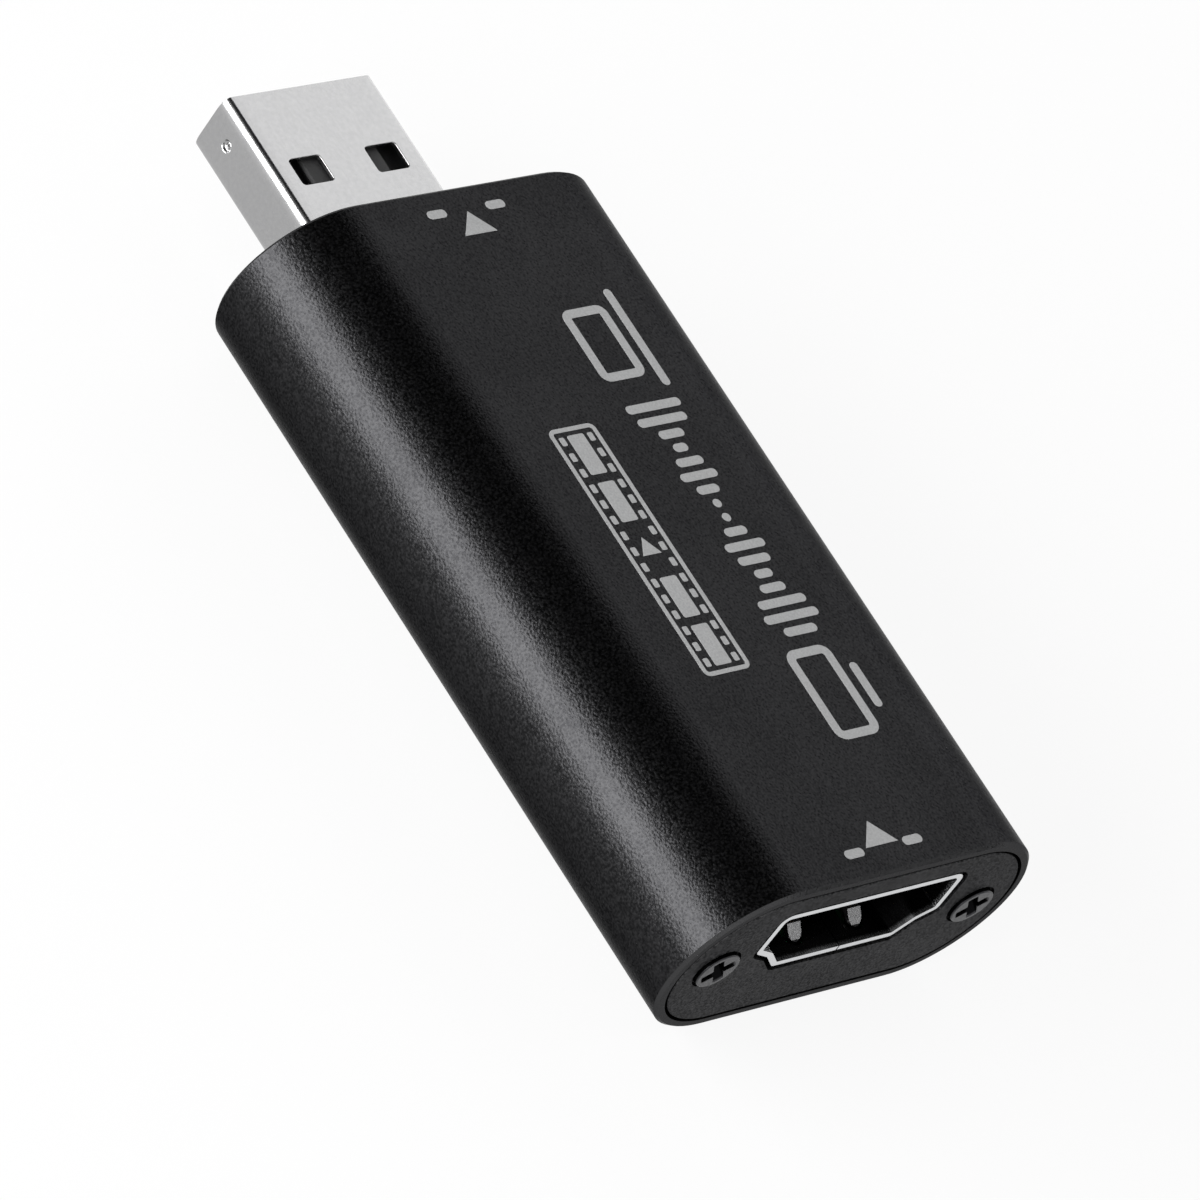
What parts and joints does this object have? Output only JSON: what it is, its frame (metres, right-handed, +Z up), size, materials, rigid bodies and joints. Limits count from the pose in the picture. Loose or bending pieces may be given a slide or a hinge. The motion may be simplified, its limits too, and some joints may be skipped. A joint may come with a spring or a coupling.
{
  "type": "video capture box",
  "caption": "Flat black metal tube with round sides, a data plug at one end and a video socket at the other, for recording a video signal on a computer.",
  "frame": {"origin": "middle of the tube's underside", "axes": "+X along the tube, out of the video socket, with the data plug towards -X; +Y across it; +Z up"},
  "size_m": [0.0648, 0.028, 0.013],
  "materials": {
    "anodised_black": "bead-blasted and black anodised",
    "plate_black": "fine-blasted and black anodised",
    "screw_black": "black oxide",
    "plug_steel": "nickel-plated rolled sheet",
    "socket_steel": "nickel-plated stamped sheet",
    "insulator_black": "moulded",
    "contact_gold": "gold flash",
    "board_green": "solder mask on glass-epoxy laminate",
    "chip_black": "moulded epoxy",
    "solder_tin": "tin plate",
    "ceramic_brown": "fired",
    "ceramic_tan": "fired",
    "fuse_green": "laminate",
    "resistor_black": "glazed film"
  },
  "bodies": {
    "root": {"tube_body": "anodised_black", "front_plate": "plate_black", "rear_plate": "plate_black", "front_screws": "screw_black", "rear_screws": "screw_black", "circuit_board": "board_green", "plug_shell": "plug_steel", "plug_tongue": "insulator_black", "plug_contacts": "contact_gold", "socket_shell": "socket_steel", "socket_core": "insulator_black", "socket_upper_contacts": "contact_gold", "socket_lower_contacts": "contact_gold", "capture_chip": "chip_black", "capture_chip_pads": "solder_tin", "memory_chip": "chip_black", "memory_chip_leads": "solder_tin", "regulators": "chip_black", "regulator_leads": "solder_tin", "crystal_base": "ceramic_brown", "crystal_lid": "solder_tin", "surge_arrays": "chip_black", "input_fuse": "fuse_green", "input_fuse_ends": "solder_tin", "bulk_capacitors": "ceramic_tan", "bulk_capacitor_ends": "solder_tin", "bypass_capacitors": "ceramic_tan", "bypass_capacitor_ends": "solder_tin", "line_resistors": "resistor_black", "line_resistor_ends": "solder_tin"}
  },
  "joints": []
}
